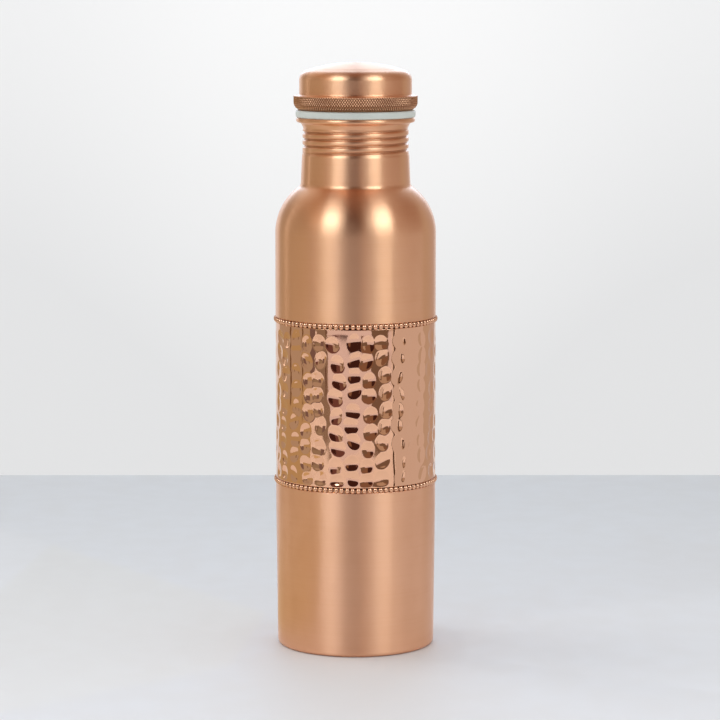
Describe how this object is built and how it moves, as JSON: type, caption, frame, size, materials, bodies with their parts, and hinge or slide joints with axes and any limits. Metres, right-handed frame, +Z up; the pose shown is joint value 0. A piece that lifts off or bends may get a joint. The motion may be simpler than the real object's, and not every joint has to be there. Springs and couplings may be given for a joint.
{
  "type": "water bottle",
  "caption": "Tall copper water bottle with a hammered waist band between two beaded wires, a rolled screw neck and a knurled screw-in cap.",
  "frame": {"origin": "centre of the foot, on the surface that the bottle stands on", "axes": "+Z up along the bottle's axis; X and Y are free, since the bottle is round"},
  "size_m": [0.0748, 0.0748, 0.266],
  "materials": {
    "brushed_copper": "bare copper, brushed round the axis to a soft satin",
    "hammered_copper": "bare copper, hammered and polished bright",
    "beaded_copper": "bare copper beaded wire, satin with darker hollows",
    "knurled_copper": "bare copper, diamond knurled, a little darker",
    "inner_copper": "bare copper as spun",
    "silicone": "translucent white silicone, matt"
  },
  "bodies": {
    "bottle": {"lower_cup": "brushed_copper", "hammered_band": "hammered_copper", "upper_shell": "brushed_copper", "lower_bead_ring": "beaded_copper", "upper_bead_ring": "beaded_copper"},
    "gasket": {"sealing_gasket": "silicone"},
    "cap": {"knurled_grip_ring": "knurled_copper", "threaded_plug": "inner_copper", "cap_crown": "brushed_copper"}
  },
  "joints": [
    {"name": "cap_lift", "type": "slide", "parent": "bottle", "child": "gasket", "axis": [0, 0, 1], "range_m": [0, 0.02135]},
    {"name": "cap_turn", "type": "hinge", "parent": "gasket", "child": "cap", "pos_m": [0, 0, 0.2446], "axis": [0, 0, 1], "range_deg": [0, 2520]}
  ],
  "couplings": [
    {"joint": "cap_turn", "follows": "cap_lift", "rad_per_m": 2060.1}
  ]
}
